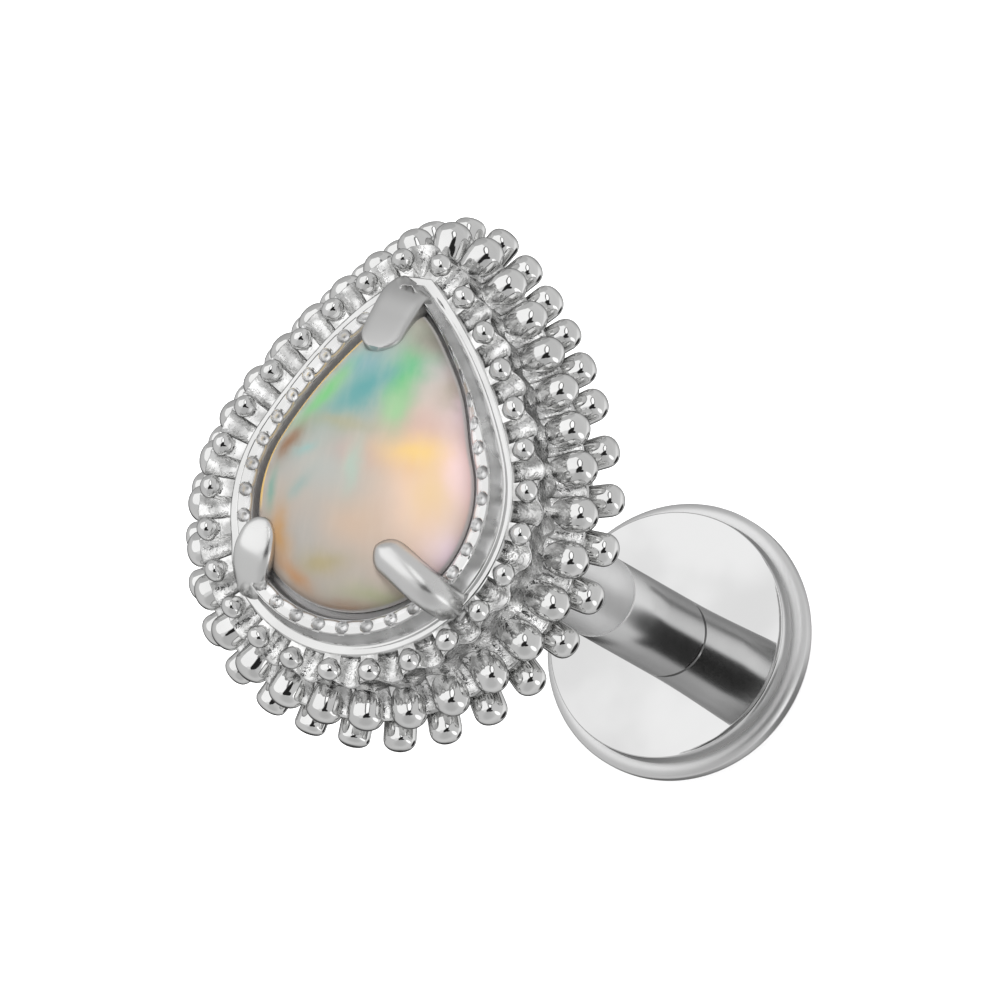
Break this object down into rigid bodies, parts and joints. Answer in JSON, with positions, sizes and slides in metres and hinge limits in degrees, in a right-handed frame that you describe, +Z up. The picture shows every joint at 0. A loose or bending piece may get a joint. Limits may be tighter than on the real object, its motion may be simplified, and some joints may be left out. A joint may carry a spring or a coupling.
{
  "type": "flat back stud",
  "caption": "Piercing stud: a flat polished disc with a short barrel, and a pull-out pear-shaped opal top in tiers of round-ended rods on a straight stem.",
  "frame": {"origin": "middle of the disc's flat back face", "axes": "+Z up the post from the disc to the setting, +Y to the tip of the pear, +X to the pear's right seen from above"},
  "size_m": [0.0066, 0.0078, 0.012],
  "materials": {
    "polished_metal": "mirror-polished white metal",
    "cast_metal": "bright cast white metal, lightly softened",
    "opal": "polished opal with a soft play of colour"
  },
  "bodies": {
    "post": {"flat_back_post": "polished_metal"},
    "top": {"setting": "cast_metal", "opal": "opal"}
  },
  "joints": [
    {"name": "top_lift", "type": "slide", "parent": "post", "child": "top", "axis": [0, 0, 1], "range_m": [0, 0.0029]}
  ]
}
